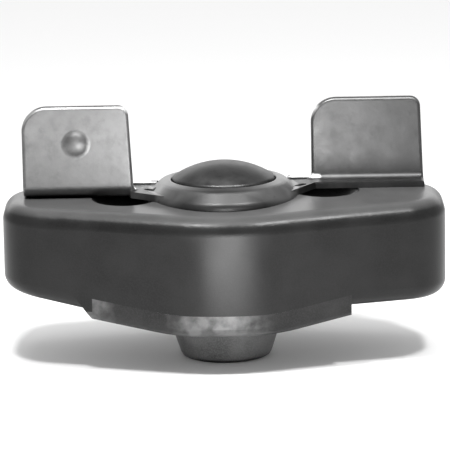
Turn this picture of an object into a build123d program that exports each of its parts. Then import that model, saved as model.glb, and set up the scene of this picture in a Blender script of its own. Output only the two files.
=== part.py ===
"""Wing nut with a stamped two-wing plate whose collar is pressed into a cast body.

Frame: +Z is up and is the thread axis, +X runs along the arms, and -Y is the front.
The origin is on the thread axis, at the flat bottom of the bush's nose. Millimetres.
"""

import os
from math import cos, radians, sin, tan

from build123d import *

# --- driving dimensions ---------------------------------------------------

# body
overall_length = 60.0
hub_half_depth = 14.3
hub_front_radius = 24.0
flank_angle = 14.5
end_corner_radius = 6.5
top_z = 22.4
crown_radius = 120.0
top_edge_radius = 2.4
arm_lower_edge_radius = 2.1
hub_lower_edge_radius = 1.2
hub_flat_half = 7.0
hub_underside_z = 5.6
underside_bend_radius = 30.0
arm_underside_left = 10.8
arm_underside_right = 8.8

# base plate, a shallow tray around the underside of the hub
tray_half_left = 17.9
tray_half_right = 16.9
tray_end_z = 7.45
tray_end_slope = 0.9
tray_floor = 1.2
tray_wall = 0.9
tray_wall_height = 3.0

# wing plate
sheet = 0.9
left_strip_front_y = -2.1
left_strip_back_y = 3.5
right_strip_front_y = 2.2
right_strip_back_y = 5.6
bend_inner_radius = 0.9
left_wing_top_z = 35.1
right_wing_top_z = 34.5
left_wing_outer = 27.2
left_wing_inner_top = 12.8
left_wing_inner_foot = 12.2
right_wing_inner = 12.1
right_wing_outer_top = 27.05
right_wing_outer_foot = 27.5
wing_large_corner = 3.4
wing_small_corner = 1.4
inner_foot_radius = 0.9
wing_edge_roll = 0.45
strap_end_x = 9.6
left_flare_angle = 34.0
right_flare_angle = 46.0
lip_height = 0.42
lip_inner_x = 8.8
lip_outer_x = 12.9
lip_edge_radius = 0.3
left_slot_x = -10.0
left_slot_y = -1.0
right_slot_x = 10.5
right_slot_y = 0.6
slot_length = 2.0
slot_width = 0.9
slot_angle = 45.0
pip_x = -19.9
pip_z = 29.95
pip_sphere_radius = 3.0
pip_height = 0.5
pip_blend_radius = 1.2

# raised collar in the middle of the wing plate
collar_radius = 10.2
collar_rim_z = 22.75
collar_floor_z = 20.4
collar_shoulder_radius = 8.6
collar_shoulder_z = 24.35
collar_mouth_radius = 7.1
collar_mouth_z = 24.75
collar_bend_radius = 1.1
collar_clearance = 0.02

# dome cap, its brim held down by the collar
dome_top_z = 26.9
dome_sphere_radius = 12.5
cap_seat_z = 21.9
cap_brim_radius = 8.9
cap_sheet = 0.8
cap_bend_radius = 0.5
cap_gap = 0.12

# round scoops in the body under the straps
left_scoop_x = -13.4
right_scoop_x = 14.0
left_scoop_y = -1.9
right_scoop_y = 1.2
scoop_radius = 5.5
scoop_depth = 2.4

# threaded bush, M8
thread_minor_radius = 3.324
thread_mouth_chamfer = 0.7
nose_bottom_radius = 6.2
nose_top_radius = 7.9
nose_edge_radius = 0.7
hex_flats = 12.0
key_clearance = 0.05
washer_seat_z = 18.6
spigot_radius = 5.0
swage_radius = 5.9
swage_height = 1.2
swage_edge_radius = 0.5

# retaining washer
washer_radius = 7.6
washer_thickness = 1.2
washer_edge_chamfer = 0.2
washer_clearance = 0.2

# --- values worked out from them -------------------------------------------

half_length = overall_length / 2
over_top_z = top_z + 5
reach = hub_half_depth + 5
flank_start_x = hub_front_radius * sin(radians(flank_angle))
flank_start_y = hub_half_depth - hub_front_radius * (1 - cos(radians(flank_angle)))
end_half_depth = flank_start_y - (half_length - flank_start_x) * tan(radians(flank_angle))
arm_step_z = tray_end_z + tray_floor
washer_top_z = washer_seat_z + washer_thickness
bush_top_z = washer_top_z + swage_height
strip_top_z = top_z + sheet
bend_outer_radius = bend_inner_radius + sheet
pip_centre_y = left_strip_front_y - pip_height + pip_sphere_radius


def plan_outline():
    """Plan of the body: a bulging hub and two flanks that narrow to rounded arm ends."""
    with BuildSketch(Plane.XY) as plan:
        with BuildLine():
            ThreePointArc(
                (-flank_start_x, -flank_start_y),
                (0, -hub_half_depth),
                (flank_start_x, -flank_start_y),
            )
            Polyline(
                (flank_start_x, -flank_start_y),
                (half_length, -end_half_depth),
                (half_length, end_half_depth),
                (flank_start_x, flank_start_y),
            )
            ThreePointArc(
                (flank_start_x, flank_start_y),
                (0, hub_half_depth),
                (-flank_start_x, flank_start_y),
            )
            Polyline(
                (-flank_start_x, flank_start_y),
                (-half_length, end_half_depth),
                (-half_length, -end_half_depth),
                (-flank_start_x, -flank_start_y),
            )
        make_face()
        fillet(plan.vertices().filter_by(lambda v: abs(v.X) > half_length - 0.01), end_corner_radius)
    return plan.sketch


def tray_line(rise):
    """Corner points of the tray's underside, from left to right, raised by rise."""
    return [
        (-tray_half_left, tray_end_z + rise),
        (-hub_flat_half, hub_underside_z + rise),
        (hub_flat_half, hub_underside_z + rise),
        (tray_half_right, tray_end_z + rise),
    ]


def underside_bends(profile):
    """Corners of a front profile where the flat underside turns up towards the arms."""
    return profile.vertices().filter_by(lambda v: abs(abs(v.X) - hub_flat_half) < 0.01)


def crosses_width(edge):
    """True for an edge that runs from the front face to the back face."""
    box = edge.bounding_box()
    return box.min.Y < -3 and box.max.Y > 3


# --- outer form shared by the body and the base plate -----------------------

with BuildPart() as blank:
    add(plan_outline())
    extrude(amount=over_top_z)
    with BuildSketch(Plane.XZ) as front_profile:
        with BuildLine():
            Polyline(
                (-half_length, over_top_z),
                (-half_length, arm_underside_left),
                (-tray_half_left - tray_end_slope, arm_step_z),
                *tray_line(0),
                (tray_half_right, arm_step_z),
                (half_length, arm_underside_right),
                (half_length, over_top_z),
                close=True,
            )
        make_face()
        fillet(underside_bends(front_profile), radius=underside_bend_radius)
    extrude(amount=reach, both=True, mode=Mode.INTERSECT)
    with BuildSketch(Plane.YZ):
        with Locations((0, top_z - crown_radius)):
            Circle(crown_radius)
    extrude(amount=half_length + 5, both=True, mode=Mode.INTERSECT)
    fillet(blank.faces().sort_by(Axis.Z)[-1].edges(), radius=top_edge_radius)
    low_edges = blank.edges().filter_by(lambda e: e.bounding_box().max.Z < top_z / 2 + 2)
    arm_rims = low_edges.filter_by(
        lambda e: e.bounding_box().max.Z > arm_step_z + 0.1
        and not crosses_width(e)
        and e.bounding_box().size.X > tray_end_slope + 0.1
        or abs(e.center().X) > half_length - 0.01
    )
    fillet(arm_rims, radius=arm_lower_edge_radius)
    tray_rims = blank.edges().filter_by(
        lambda e: e.bounding_box().max.Z < tray_end_z + 0.01 and not crosses_width(e)
    )
    fillet(tray_rims, radius=hub_lower_edge_radius)

# --- base plate --------------------------------------------------------------

with BuildPart() as tray_inside:
    with BuildSketch(Plane.XY):
        add(plan_outline())
        offset(amount=-tray_wall, mode=Mode.REPLACE)
    extrude(amount=over_top_z)
    with BuildSketch(Plane.XZ) as above_floor:
        with BuildLine():
            Polyline(
                (-half_length, arm_step_z),
                *tray_line(tray_floor),
                (half_length, arm_step_z),
                (half_length, over_top_z),
                (-half_length, over_top_z),
                close=True,
            )
        make_face()
        fillet(underside_bends(above_floor), radius=underside_bend_radius)
    extrude(amount=reach, both=True, mode=Mode.INTERSECT)

with BuildPart() as tray_shell:
    add(blank.part)
    with BuildSketch(Plane.XZ) as below_lip:
        with BuildLine():
            Polyline(
                (-half_length, 0),
                (-half_length, arm_step_z),
                (-tray_half_left, arm_step_z),
                *tray_line(tray_wall_height),
                (tray_half_right, arm_step_z),
                (half_length, arm_step_z),
                (half_length, 0),
                close=True,
            )
        make_face()
        fillet(underside_bends(below_lip), radius=underside_bend_radius)
    extrude(amount=reach, both=True, mode=Mode.INTERSECT)
    add(tray_inside.part, mode=Mode.SUBTRACT)

with BuildPart() as base_plate:
    add(tray_shell.part)
    with BuildSketch(Plane.XY):
        RegularPolygon(radius=hex_flats / 2 + key_clearance, side_count=6, major_radius=False)
    extrude(amount=washer_seat_z, mode=Mode.SUBTRACT)

# --- body ----------------------------------------------------------------------

with BuildPart() as body:
    add(blank.part)
    add(tray_shell.part, mode=Mode.SUBTRACT)
    with BuildSketch(Plane.XY):
        RegularPolygon(radius=hex_flats / 2 + key_clearance, side_count=6, major_radius=False)
    extrude(amount=washer_seat_z, mode=Mode.SUBTRACT)
    with BuildSketch(Plane.XY.offset(washer_seat_z)):
        Circle(washer_radius + washer_clearance)
    extrude(amount=over_top_z - washer_seat_z, mode=Mode.SUBTRACT)
    with BuildSketch(Plane.XY.offset(cap_seat_z)):
        Circle(collar_radius + collar_clearance)
    extrude(amount=over_top_z - cap_seat_z, mode=Mode.SUBTRACT)
    with BuildSketch(Plane.XY.offset(collar_floor_z)):
        Circle(collar_radius + collar_clearance)
        Circle(collar_radius - sheet - collar_clearance, mode=Mode.SUBTRACT)
    extrude(amount=over_top_z - collar_floor_z, mode=Mode.SUBTRACT)
    scoop_z = top_z - scoop_depth + scoop_radius
    with Locations((left_scoop_x, left_scoop_y, scoop_z), (right_scoop_x, right_scoop_y, scoop_z)):
        Sphere(scoop_radius, mode=Mode.SUBTRACT)

# --- threaded bush ----------------------------------------------------------------

with BuildPart() as threaded_bush:
    with BuildSketch(Plane.XZ):
        with BuildLine():
            Polyline(
                (0, 0),
                (nose_bottom_radius, 0),
                (nose_top_radius, hub_underside_z),
                (0, hub_underside_z),
                close=True,
            )
        make_face()
    revolve(axis=Axis.Z)
    fillet(threaded_bush.edges().filter_by(GeomType.CIRCLE).sort_by(Axis.Z)[0], radius=nose_edge_radius)
    with BuildSketch(Plane.XY.offset(hub_underside_z)):
        RegularPolygon(radius=hex_flats / 2, side_count=6, major_radius=False)
    extrude(amount=washer_seat_z - hub_underside_z)
    with BuildSketch(Plane.XY.offset(washer_seat_z)):
        Circle(spigot_radius)
    extrude(amount=washer_thickness)
    with BuildSketch(Plane.XY.offset(washer_top_z)):
        Circle(swage_radius)
    extrude(amount=swage_height)
    fillet(threaded_bush.edges().filter_by(GeomType.CIRCLE).sort_by(Axis.Z)[-1], radius=swage_edge_radius)
    with BuildSketch(Plane.XY):
        Circle(thread_minor_radius)
    extrude(amount=bush_top_z, mode=Mode.SUBTRACT)
    mouths = threaded_bush.edges().filter_by(
        lambda e: e.geom_type == GeomType.CIRCLE and abs(e.radius - thread_minor_radius) < 0.001
    )
    chamfer(mouths, length=thread_mouth_chamfer)

# --- retaining washer ----------------------------------------------------------------

with BuildPart() as retaining_washer:
    with BuildSketch(Plane.XY.offset(washer_seat_z)):
        Circle(washer_radius)
        Circle(spigot_radius + key_clearance, mode=Mode.SUBTRACT)
    extrude(amount=washer_thickness)
    outer_rims = retaining_washer.edges().filter_by(
        lambda e: e.geom_type == GeomType.CIRCLE and e.radius > washer_radius - 0.01
    )
    chamfer(outer_rims, length=washer_edge_chamfer)

# --- wing plate ----------------------------------------------------------------------


def collar_section():
    """Half section of the raised collar, from its rim on the body up to its mouth."""
    with BuildSketch(Plane.XZ) as section:
        with BuildLine():
            Polyline(
                (collar_radius, collar_floor_z),
                (collar_radius, collar_rim_z),
                (collar_shoulder_radius, collar_shoulder_z),
                (collar_mouth_radius, collar_mouth_z),
                (collar_mouth_radius, collar_mouth_z - sheet),
                (collar_shoulder_radius - 0.5 * sheet, collar_shoulder_z - sheet),
                (collar_radius - sheet, collar_rim_z - 0.4 * sheet),
                (collar_radius - sheet, collar_floor_z),
                close=True,
            )
        make_face()
        bends = section.vertices().filter_by(
            lambda v: v.X > collar_mouth_radius + 0.1 and v.Y > collar_floor_z + 0.1
        )
        fillet(bends, radius=collar_bend_radius)
        mouth = section.vertices().sort_by(Axis.X)[0:2]
        fillet(mouth, radius=0.4 * sheet)
    return section.sketch


def wing(outline, large_corner, small_corner, foot_corner, bend_y, strip_end_y):
    """A wing that rises from its strip at y = bend_y, the strip running from there to strip_end_y."""
    x_values = [point[0] for point in outline]
    crest_z = max(point[1] for point in outline)
    way = 1 if strip_end_y > bend_y else -1
    bend_z = top_z + bend_outer_radius
    with BuildPart() as blade:
        with BuildSketch(Plane.YZ.offset(min(x_values))):
            with BuildLine():
                Polyline(
                    (bend_y + way * bend_outer_radius, top_z),
                    (strip_end_y, top_z),
                    (strip_end_y, strip_top_z),
                    (bend_y + way * bend_outer_radius, strip_top_z),
                )
                RadiusArc(
                    (bend_y + way * bend_outer_radius, strip_top_z),
                    (bend_y + way * sheet, bend_z),
                    way * bend_inner_radius,
                )
                Polyline(
                    (bend_y + way * sheet, bend_z),
                    (bend_y + way * sheet, crest_z),
                    (bend_y, crest_z),
                    (bend_y, bend_z),
                )
                RadiusArc(
                    (bend_y, bend_z),
                    (bend_y + way * bend_outer_radius, top_z),
                    -way * bend_outer_radius,
                )
            make_face()
        extrude(amount=max(x_values) - min(x_values))
        with BuildSketch(Plane.XZ) as face:
            with BuildLine():
                Polyline(*outline, close=True)
            make_face()
            for corner, radius in (
                (large_corner, wing_large_corner),
                (small_corner, wing_small_corner),
                (foot_corner, inner_foot_radius),
            ):
                fillet(face.vertices().sort_by_distance((*corner, 0))[0], radius=radius)
        extrude(amount=reach, both=True, mode=Mode.INTERSECT)
        front = blade.faces().filter_by(Axis.Y).sort_by(SortBy.AREA)[-2:].sort_by(Axis.Y)[0]
        free_edges = front.edges().filter_by(lambda e: e.bounding_box().max.Z > bend_z + 0.01)
        fillet(free_edges, radius=wing_edge_roll)
    return blade.part


def strap_plan(side, front_y, back_y, flare_angle):
    """Plan of a strap, from the strip at a wing's foot to the rim of the collar."""
    flare = radians(flare_angle)
    rim = collar_radius - sheet / 2
    return [
        (side * lip_outer_x, front_y + bend_outer_radius),
        (side * (lip_outer_x - 0.3), front_y + 0.02),
        (side * rim * cos(flare), -rim * sin(flare)),
        (side * 0.8 * rim, back_y),
        (side * lip_outer_x, back_y),
    ]


left_outline = [
    (-left_wing_outer, top_z),
    (-left_wing_outer, left_wing_top_z),
    (-left_wing_inner_top, left_wing_top_z),
    (-left_wing_inner_foot, strip_top_z),
    (-strap_end_x, strip_top_z),
    (-strap_end_x, top_z),
]
right_outline = [
    (strap_end_x, top_z),
    (strap_end_x, strip_top_z),
    (right_wing_inner, strip_top_z),
    (right_wing_inner, right_wing_top_z),
    (right_wing_outer_top, right_wing_top_z),
    (right_wing_outer_foot, top_z),
]
left_wing = wing(left_outline, *left_outline[1:4], left_strip_front_y, left_strip_back_y)
right_wing = wing(
    right_outline,
    right_outline[3],
    right_outline[4],
    right_outline[2],
    right_strip_back_y,
    right_strip_front_y,
)
strips = [
    (-1, left_strip_front_y, left_strip_back_y, left_flare_angle),
    (1, right_strip_front_y, right_strip_back_y, right_flare_angle),
]

with BuildPart() as pip_cap:
    with Locations((pip_x, pip_centre_y, pip_z)):
        Sphere(pip_sphere_radius)
    split(bisect_by=Plane.XZ.offset(-left_strip_front_y - sheet / 2), keep=Keep.TOP)

with BuildPart() as left_blade:
    add(left_wing)
    add(pip_cap.part)
    pip_rim = left_blade.edges().filter_by(
        lambda e: (e.bounding_box().center() - Vector(pip_x, left_strip_front_y, pip_z)).length < 0.2
    )
    fillet(pip_rim, radius=pip_blend_radius)
    with Locations((pip_x, pip_centre_y, pip_z)):
        Sphere(pip_sphere_radius - sheet, mode=Mode.SUBTRACT)

with BuildPart() as lips:
    for side, _, back_y, _ in strips:
        middle_x = side * (lip_inner_x + lip_outer_x) / 2
        with Locations((middle_x, back_y - sheet / 2, top_z + (sheet + lip_height) / 2)):
            Box(lip_outer_x - lip_inner_x, sheet, sheet + lip_height)
    top_rims = lips.edges().filter_by(lambda e: e.bounding_box().min.Z > strip_top_z + 0.01)
    fillet(top_rims, radius=lip_edge_radius)

with BuildPart() as wing_plate:
    add(left_blade.part)
    add(right_wing)
    add(lips.part)
    with BuildSketch(Plane.XY.offset(top_z)):
        for strip in strips:
            with BuildLine():
                Polyline(*strap_plan(*strip), close=True)
            make_face()
    extrude(amount=sheet)
    with BuildSketch(Plane.XY.offset(collar_floor_z)):
        Circle(collar_radius - 0.75 * sheet)
    extrude(amount=over_top_z - collar_floor_z, mode=Mode.SUBTRACT)
    add(collar_section())
    revolve(axis=Axis.Z)
    with BuildSketch(Plane.XY.offset(top_z - 0.5)):
        with Locations(
            Location((left_slot_x, left_slot_y, 0), (0, 0, -slot_angle)),
            Location((right_slot_x, right_slot_y, 0), (0, 0, slot_angle)),
        ):
            SlotOverall(slot_length, slot_width)
    extrude(amount=2 * sheet + 0.5, mode=Mode.SUBTRACT)

# --- dome cap --------------------------------------------------------------------------

cap_neck_radius = collar_mouth_radius - cap_gap
cap_inner_radius = cap_neck_radius - cap_sheet
cap_centre_z = dome_top_z - dome_sphere_radius
cap_inner_sphere = dome_sphere_radius - cap_sheet
cap_brim_top_z = cap_seat_z + cap_sheet


def dome_z(sphere_radius, r):
    """Height of a dome surface of the cap at the distance r from the axis."""
    return cap_centre_z + (sphere_radius**2 - r**2) ** 0.5


with BuildPart() as dome_cap:
    with BuildSketch(Plane.XZ) as cap_section:
        with BuildLine():
            ThreePointArc(
                (0, dome_top_z),
                (cap_neck_radius / 2, dome_z(dome_sphere_radius, cap_neck_radius / 2)),
                (cap_neck_radius, dome_z(dome_sphere_radius, cap_neck_radius)),
            )
            Polyline(
                (cap_neck_radius, dome_z(dome_sphere_radius, cap_neck_radius)),
                (cap_neck_radius, cap_brim_top_z),
                (cap_brim_radius, cap_brim_top_z),
                (cap_brim_radius, cap_seat_z),
                (cap_inner_radius, cap_seat_z),
                (cap_inner_radius, dome_z(cap_inner_sphere, cap_inner_radius)),
            )
            ThreePointArc(
                (cap_inner_radius, dome_z(cap_inner_sphere, cap_inner_radius)),
                (cap_inner_radius / 2, dome_z(cap_inner_sphere, cap_inner_radius / 2)),
                (0, dome_top_z - cap_sheet),
            )
            Line((0, dome_top_z - cap_sheet), (0, dome_top_z))
        make_face()
        bends = cap_section.vertices().filter_by(
            lambda v: cap_inner_radius - 0.01 < v.X < cap_neck_radius + 0.01
        )
        fillet(bends.filter_by(lambda v: v.X > cap_neck_radius - 0.01), radius=cap_bend_radius)
    revolve(axis=Axis.Z)

# --- write the pieces ---------------------------------------------------------------------

os.makedirs("parts", exist_ok=True)
pieces = {
    "body": body,
    "base_plate": base_plate,
    "threaded_bush": threaded_bush,
    "retaining_washer": retaining_washer,
    "dome_cap": dome_cap,
    "wing_plate": wing_plate,
}
for name, piece in pieces.items():
    piece.part.label = name
    export_step(piece.part, f"parts/{name}.step")
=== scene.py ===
import math

import bpy
from mathutils import Matrix, Vector


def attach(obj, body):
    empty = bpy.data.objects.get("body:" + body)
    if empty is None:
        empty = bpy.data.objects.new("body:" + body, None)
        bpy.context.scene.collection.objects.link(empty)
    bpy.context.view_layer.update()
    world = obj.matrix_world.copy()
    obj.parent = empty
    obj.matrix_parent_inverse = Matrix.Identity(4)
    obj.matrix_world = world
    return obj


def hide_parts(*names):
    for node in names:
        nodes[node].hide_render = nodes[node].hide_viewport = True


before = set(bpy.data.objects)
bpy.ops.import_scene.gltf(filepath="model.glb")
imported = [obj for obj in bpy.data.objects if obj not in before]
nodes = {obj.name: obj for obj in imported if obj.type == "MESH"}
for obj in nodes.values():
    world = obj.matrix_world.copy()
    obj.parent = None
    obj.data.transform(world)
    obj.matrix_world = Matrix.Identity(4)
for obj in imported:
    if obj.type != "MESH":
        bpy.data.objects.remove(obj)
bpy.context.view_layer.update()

MM = 0.001


# --- camera -----------------------------------------------------------------

CAMERA_ELEVATION = math.radians(12.3)
CAMERA_ROLL = math.radians(1.0)
CAMERA_DISTANCE = 0.50
VIEW_WIDTH = 0.0614
VIEW_CENTRE = Vector((0.0001, 0.0, 0.0180))


def make_camera():
    """Long lens from the front, a little above, turned slightly about its own axis."""
    data = bpy.data.cameras.new("camera")
    data.sensor_width = 36.0
    data.lens = data.sensor_width * CAMERA_DISTANCE / VIEW_WIDTH
    data.clip_start = 0.01
    data.clip_end = 20.0
    camera = bpy.data.objects.new("camera", data)
    bpy.context.scene.collection.objects.link(camera)
    back = Vector((0.0, -math.cos(CAMERA_ELEVATION), math.sin(CAMERA_ELEVATION)))
    camera.location = VIEW_CENTRE + back * CAMERA_DISTANCE
    turn = back.to_track_quat("Z", "Y").to_matrix().to_4x4()
    camera.matrix_world = Matrix.Translation(camera.location) @ turn @ Matrix.Rotation(-CAMERA_ROLL, 4, "Z")
    bpy.context.scene.camera = camera


# --- light and floor ----------------------------------------------------------

def area_light(name, location, target, size_x, size_y, watts):
    """A rectangular soft light at location, facing target."""
    data = bpy.data.lights.new(name, "AREA")
    data.shape = "RECTANGLE"
    data.size = size_x
    data.size_y = size_y
    data.energy = watts
    lamp = bpy.data.objects.new(name, data)
    bpy.context.scene.collection.objects.link(lamp)
    away = Vector(location) - Vector(target)
    lamp.matrix_world = Matrix.Translation(location) @ away.to_track_quat("Z", "Y").to_matrix().to_4x4()
    lamp.visible_camera = False


def make_studio():
    """Pale floor, white surroundings, soft boxes overhead and behind, and a small low one in front."""
    world = bpy.data.worlds.new("surroundings")
    bpy.context.scene.world = world
    world.use_nodes = True
    world.node_tree.nodes["Background"].inputs["Color"].default_value = (1, 1, 1, 1)
    world.node_tree.nodes["Background"].inputs["Strength"].default_value = 0.60

    mesh = bpy.data.meshes.new("floor")
    side = 4.0
    corners = [(-side, -side, 0), (side, -side, 0), (side, side, 0), (-side, side, 0)]
    mesh.from_pydata(corners, [], [(0, 1, 2, 3)])
    floor = bpy.data.objects.new("floor", mesh)
    bpy.context.scene.collection.objects.link(floor)
    material = bpy.data.materials.new("floor")
    material.use_nodes = True
    shader = material.node_tree.nodes["Principled BSDF"]
    shader.inputs["Base Color"].default_value = (0.9, 0.9, 0.9, 1)
    shader.inputs["Roughness"].default_value = 0.9
    mesh.materials.append(material)

    centre = (0, 0, 0.015)
    area_light("overhead", (0.0, -0.10, 0.60), centre, 0.40, 0.30, 1.1)
    area_light("left_top", (-0.040, -0.090, 0.205), (-0.008, -0.010, 0.022), 0.024, 0.024, 0.34)
    area_light("right_top", (0.075, -0.085, 0.200), (0.010, -0.010, 0.022), 0.024, 0.024, 0.30)
    area_light("behind", (0.0, 0.80, 0.28), centre, 1.6, 0.32, 2.2)
    area_light("low_front", (0.003, -0.072, 0.001), (0.003, -0.014, 0.100), 0.036, 0.055, 0.112)
    bpy.context.scene.view_settings.view_transform = "Standard"


# --- materials ------------------------------------------------------------------

# Where the sheet's painted light and shade change, as the start and end of each change, in metres.
COLLAR_EDGE = (0.0118, 0.0102)
COLLAR_RIM = (0.0104, 0.0101)
COLLAR_SIDE_Y = -0.0040
COLLAR_FRONT_Y = -0.0085
LIP_Z = (0.02342, 0.02352)
LIP_START = (0.0102, 0.0106)
LIP_END = (0.0142, 0.0138)
WING_TOP_Z = (0.0310, 0.0320)
WING_FOOT_X = 0.012
WING_END_X = 0.029

# Kept at 0.285 or more: a range that started at 0.26 left dark specks.
COAT_ROUGHNESS = (0.285, 0.345)

class Nodes:
    """Small helper that builds one material's node tree."""

    def __init__(self, name):
        self.material = bpy.data.materials.new(name)
        self.material.use_nodes = True
        self.tree = self.material.node_tree
        self.shader = self.tree.nodes["Principled BSDF"]

    def node(self, kind, inputs=None, **settings):
        made = self.tree.nodes.new(kind)
        for key, value in settings.items():
            setattr(made, key, value)
        for key, value in (inputs or {}).items():
            if isinstance(value, bpy.types.NodeSocket):
                self.tree.links.new(value, made.inputs[key])
            else:
                made.inputs[key].default_value = value
        return made

    def place(self):
        return self.node("ShaderNodeNewGeometry").outputs["Position"]

    def axis(self, letter):
        return self.node("ShaderNodeSeparateXYZ", {"Vector": self.place()}).outputs[letter]

    def upward(self):
        """1 on a face that looks straight up, 0 on an upright one."""
        facing = self.node("ShaderNodeNewGeometry").outputs["Normal"]
        return self.node("ShaderNodeSeparateXYZ", {"Vector": facing}).outputs["Z"]

    def reach(self):
        """Distance from the thread axis."""
        flat = self.node("ShaderNodeVectorMath", {0: self.place(), 1: (1, 1, 0)}, operation="MULTIPLY")
        return self.node("ShaderNodeVectorMath", {0: flat.outputs[0]}, operation="LENGTH").outputs["Value"]

    def times(self, first, second):
        return self.node("ShaderNodeMath", {0: first, 1: second}, operation="MULTIPLY").outputs[0]

    def most(self, first, second):
        return self.node("ShaderNodeMath", {0: first, 1: second}, operation="MAXIMUM").outputs[0]

    def crevice(self, distance, start, full):
        """1 deep in a gap or hollow, 0 in the open."""
        open_share = self.node("ShaderNodeAmbientOcclusion", {"Distance": distance}, samples=8).outputs["AO"]
        return self.remap(open_share, start, full, 0.0, 1.0)

    def noise(self, scale, detail=3.0, roughness=0.5, vector=None):
        vector = vector or self.place()
        made = self.node("ShaderNodeTexNoise", {"Vector": vector, "Scale": scale, "Detail": detail,
                                               "Roughness": roughness})
        return made.outputs["Fac"]

    def remap(self, value, low, high, to_low, to_high):
        made = self.node("ShaderNodeMapRange", {"Value": value, "From Min": low, "From Max": high,
                                               "To Min": to_low, "To Max": to_high})
        return made.outputs["Result"]

    def mix(self, factor, first, second, blend="MIX"):
        made = self.node("ShaderNodeMix", data_type="RGBA", blend_type=blend)
        for key, value in ((0, factor), (6, first), (7, second)):
            if isinstance(value, bpy.types.NodeSocket):
                self.tree.links.new(value, made.inputs[key])
            elif isinstance(value, (int, float)) and key:
                made.inputs[key].default_value = (value, value, value, 1)
            else:
                made.inputs[key].default_value = value
        return made.outputs[2]

    def bump(self, height, strength, distance, normal=None):
        inputs = {"Height": height, "Strength": strength, "Distance": distance}
        if normal is not None:
            inputs["Normal"] = normal
        return self.node("ShaderNodeBump", inputs).outputs["Normal"]

    def set(self, **sockets):
        names = {"color": "Base Color", "roughness": "Roughness", "metallic": "Metallic", "normal": "Normal",
                 "specular": "Specular IOR Level"}
        for key, value in sockets.items():
            socket = self.shader.inputs[names[key]]
            if isinstance(value, bpy.types.NodeSocket):
                self.tree.links.new(value, socket)
            else:
                socket.default_value = value
        return self.material


def cast_coat(name, dark, light, wear_and_highlight=None):
    """Satin dark grey coat on a casting: fine grain, cloudy tone, a dusty top also painted lighter as
    overhead light would make it, painted shade in hollows, worn and painted-highlight spots from the mask.
    """
    n = Nodes(name)
    clouds = n.noise(200.0, 2.0)
    grain = n.noise(5200.0, 2.0, 0.6)
    color = n.mix(n.remap(clouds, 0.35, 0.65, 0.0, 1.0), dark, light)
    color = n.mix(n.remap(grain, 0.42, 0.62, 0.0, 0.4), color, light * 1.6)
    roughness = n.remap(clouds, 0.3, 0.7, *COAT_ROUGHNESS)
    # Lighter on upward faces: partly dusty, partly painted light on the top, where overhead light falls.
    dust_and_top_light = n.times(n.remap(n.upward(), 0.55, 0.98, 0.0, 0.8), n.remap(clouds, 0.25, 0.7, 0.75, 1.0))
    color = n.mix(dust_and_top_light, color, 0.105)
    # Painted shade: deep in gaps and hollows the colour goes to black and the coat turns metallic.
    shade = n.crevice(0.0035, 0.40, 0.20)
    metallic = shade
    if wear_and_highlight is not None:
        # Lighter, metallic spots from the given mask: worn bare metal, and on the tray a painted highlight
        # under the hub.
        worn_and_highlight_patches = n.remap(n.times(n.noise(700.0, 3.0), wear_and_highlight(n)), 0.15, 0.60, 0.0, 0.46)
        metallic = n.most(shade, worn_and_highlight_patches)
        color = n.mix(worn_and_highlight_patches, color, 0.24)
    # Painted shade: black colour in the hollows.
    color = n.mix(shade, color, 0.0)
    normal = n.bump(grain, 0.18, 0.00004)
    return n.set(color=color, roughness=roughness, normal=normal, metallic=metallic, specular=0.26)


def tray_wear_and_highlight(n):
    """Lighter, metallic front of the rim: worn bare metal at the tray's left end, a painted highlight under
    the hub.
    """
    left_end = n.remap(n.axis("X"), -0.0135, -0.0178, 0.0, 1.0)
    # Painted highlight along the rim's lower edge under the hub.
    under_hub_highlight = n.remap(n.axis("X"), -0.0100, -0.0040, 0.0, 1.0)
    under_hub_highlight = n.times(under_hub_highlight, n.remap(n.axis("X"), 0.0085, 0.0010, 0.0, 1.0))
    front = n.remap(n.axis("Y"), -0.0060, -0.0110, 0.0, 1.0)
    return n.times(n.most(left_end, under_hub_highlight), front)


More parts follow.
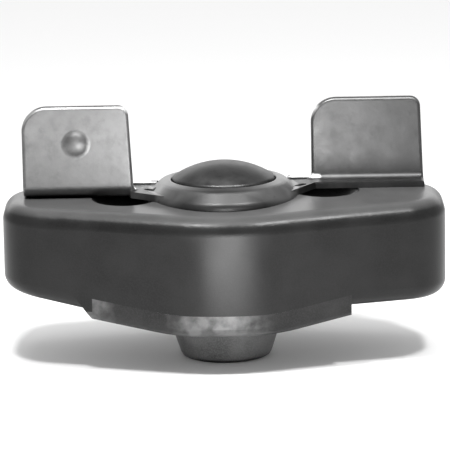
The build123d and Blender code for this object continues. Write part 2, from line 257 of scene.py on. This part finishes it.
def zinc_sheet(name, dark, light, painted_light_and_shade=False):
    """Dull sheet with soft mottling, painted highlights on the lips and the rounded top edges, painted shade
    in crevices.

    With the flag set it paints shade on the collar, the sheet towards the right and the left wing's foot,
    and paints light on the collar's sides.
    """
    n = Nodes(name)
    mottle = n.noise(420.0, 5.0, 0.55)
    clouds = n.noise(90.0, 2.0)
    grain = n.noise(4200.0, 2.0, 0.6)
    blotches = n.noise(700.0, 4.0, 0.65)
    color = n.mix(n.remap(mottle, 0.35, 0.65, 0.0, 1.0), dark, light)
    color = n.mix(n.remap(clouds, 0.35, 0.65, 0.0, 0.35), color, dark * 0.85)
    color = n.mix(n.remap(blotches, 0.50, 0.70, 0.0, 0.45), color, dark * 0.6)
    reach = n.reach()
    upward = n.upward()
    if painted_light_and_shade:
        # Painted shade: the collar is made darker, and its front darker still.
        middle = n.remap(reach, *COLLAR_EDGE, 0.0, 1.0)
        color = n.mix(middle, color, 0.60, "MULTIPLY")
        front = n.remap(n.axis("Y"), COLLAR_SIDE_Y, COLLAR_FRONT_Y, 0.0, 1.0)
        color = n.mix(n.times(middle, front), color, 0.22, "MULTIPLY")
        # Painted shade: the sheet gets darker towards the right, as if lit from the left.
        color = n.mix(n.remap(n.axis("X"), 0.0, WING_END_X, 0.50, 0.92), color, 0.065)
        color = n.mix(n.remap(n.axis("X"), 0.0, WING_FOOT_X, 0.0, 1.0), color, 0.78, "MULTIPLY")
        # Painted light: the collar's rim is made lighter towards its sides and back.
        sides = n.remap(n.axis("Y"), COLLAR_FRONT_Y, COLLAR_SIDE_Y, 0.0, 0.7)
        sides = n.times(sides, n.remap(reach, *COLLAR_RIM, 0.0, 1.0))
        color = n.mix(sides, color, 0.36)
        # Painted shade: the foot of the left wing is made darker.
        low = n.remap(n.axis("Z"), WING_TOP_Z[0], 0.0235, 0.0, 0.55)
        left_wing = n.remap(n.axis("X"), -WING_FOOT_X, -0.014, 0.0, 1.0)
        color = n.mix(n.times(low, left_wing), color, 0.08)
    # Painted highlight: the upward faces of the lips round the collar are made nearly white.
    lip_highlight = n.times(n.remap(n.axis("Z"), *LIP_Z, 0.0, 1.0), n.remap(reach, *LIP_END, 0.0, 1.0))
    lip_highlight = n.times(lip_highlight, n.remap(reach, *LIP_START, 0.0, 1.0))
    color = n.mix(n.times(n.remap(upward, 0.15, 0.5, 0.0, 1.0), lip_highlight), color, 0.85)
    # Painted highlight: the rounded top edges of the wings are made lighter, more on the left wing.
    high = n.remap(n.axis("Z"), *WING_TOP_Z, 0.0, 1.0)
    edge_highlight = n.times(n.remap(upward, 0.10, 0.30, 0.0, 1.0), n.remap(upward, 0.75, 0.95, 1.0, 0.0))
    edge_highlight = n.times(edge_highlight, n.remap(n.axis("X"), -WING_FOOT_X, WING_FOOT_X, 0.5, 0.1))
    color = n.mix(n.times(edge_highlight, high), color, 0.70)
    # Darker on the flat, upward top faces of the wings.
    color = n.mix(n.times(n.remap(upward, 0.80, 0.98, 0.0, 0.9), high), color, 0.06)
    # Painted shade: near black in gaps and hollows.
    color = n.mix(n.crevice(0.0015, 0.35, 0.10), color, 0.01)
    roughness = n.remap(mottle, 0.3, 0.7, 0.36, 0.5)
    normal = n.bump(grain, 0.12, 0.00003)
    normal = n.bump(mottle, 0.15, 0.0002, normal)
    return n.set(color=color, roughness=roughness, normal=normal, metallic=1.0)


# --- bush with its thread ---------------------------------------------------------

BUSH_STEPS = 96
THREAD_PITCH = 1.25
THREAD_MINOR = 3.324
THREAD_MAJOR = 4.0
BORE_TOP = 21.0
MOUTH = 0.7
HALF_FLATS = 6.0
BORE_STEPS = 136


def hex_radius(angle):
    """Distance from the axis to the side of a hexagon 12 mm across its flats."""
    turn = angle % (math.pi / 3)
    return HALF_FLATS / math.cos(turn - math.pi / 6)


def bush_profile(angle):
    """Closed profile of the bush at one angle, as (radius, z) in mm: outside up, then the bore down."""
    flat = hex_radius(angle)
    outside = [(5.45, 0.0), (5.8, 0.08), (6.08, 0.28), (6.27, 0.62), (7.9, 5.6), (flat, 5.6), (flat, 18.6),
               (5.0, 18.6), (5.0, 19.8), (5.9, 19.8), (5.9, 20.5), (5.75, 20.85), (5.4, BORE_TOP)]
    bore = []
    for step in range(BORE_STEPS + 1):
        z = BORE_TOP - BORE_TOP * step / BORE_STEPS
        phase = (z / THREAD_PITCH - angle / (2 * math.pi)) % 1.0
        depth = min(1.0, max(0.0, 1.35 - abs(phase - 0.5) * 3.4))
        radius = THREAD_MINOR + depth * (THREAD_MAJOR - THREAD_MINOR)
        end = min(z, BORE_TOP - z)
        flare = THREAD_MINOR + max(0.0, MOUTH - end)
        bore.append((max(radius, flare) if end < MOUTH else radius, z))
    return outside + bore


def threaded_bush():
    """The bush as a ring of profiles, whose bore follows a right-handed thread."""
    points, faces = [], []
    for turn in range(BUSH_STEPS):
        angle = 2 * math.pi * turn / BUSH_STEPS
        profile = bush_profile(angle)
        points += [(r * math.cos(angle) * MM, r * math.sin(angle) * MM, z * MM) for r, z in profile]
    count = len(profile)
    for turn in range(BUSH_STEPS):
        here = turn * count
        there = (turn + 1) % BUSH_STEPS * count
        for i in range(count):
            j = (i + 1) % count
            faces.append((here + i, there + i, there + j, here + j))
    mesh = bpy.data.meshes.new("bush")
    mesh.from_pydata(points, [], faces)
    mesh.shade_smooth()
    mesh.set_sharp_from_angle(angle=math.radians(35))
    piece = bpy.data.objects.new("bush_with_thread", mesh)
    bpy.context.scene.collection.objects.link(piece)
    return piece


def give(node, material):
    """Puts a material in every slot of a CAD node."""
    for slot in nodes[node].material_slots:
        slot.material = material


make_camera()
make_studio()

give("body", cast_coat("body_coat", 0.004, 0.008))
give("base_plate", cast_coat("tray_coat", 0.006, 0.016, tray_wear_and_highlight))
bush = threaded_bush()
bush.data.materials.append(cast_coat("bush_steel", 0.05, 0.10))
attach(bush, "root")
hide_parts("threaded_bush")
give("wing_plate", zinc_sheet("zinc_sheet", 0.235, 0.34, True))
give("dome_cap", zinc_sheet("cap_steel", 0.055, 0.085))
give("retaining_washer", zinc_sheet("washer_steel", 0.40, 0.50))

bpy.context.view_layer.update()
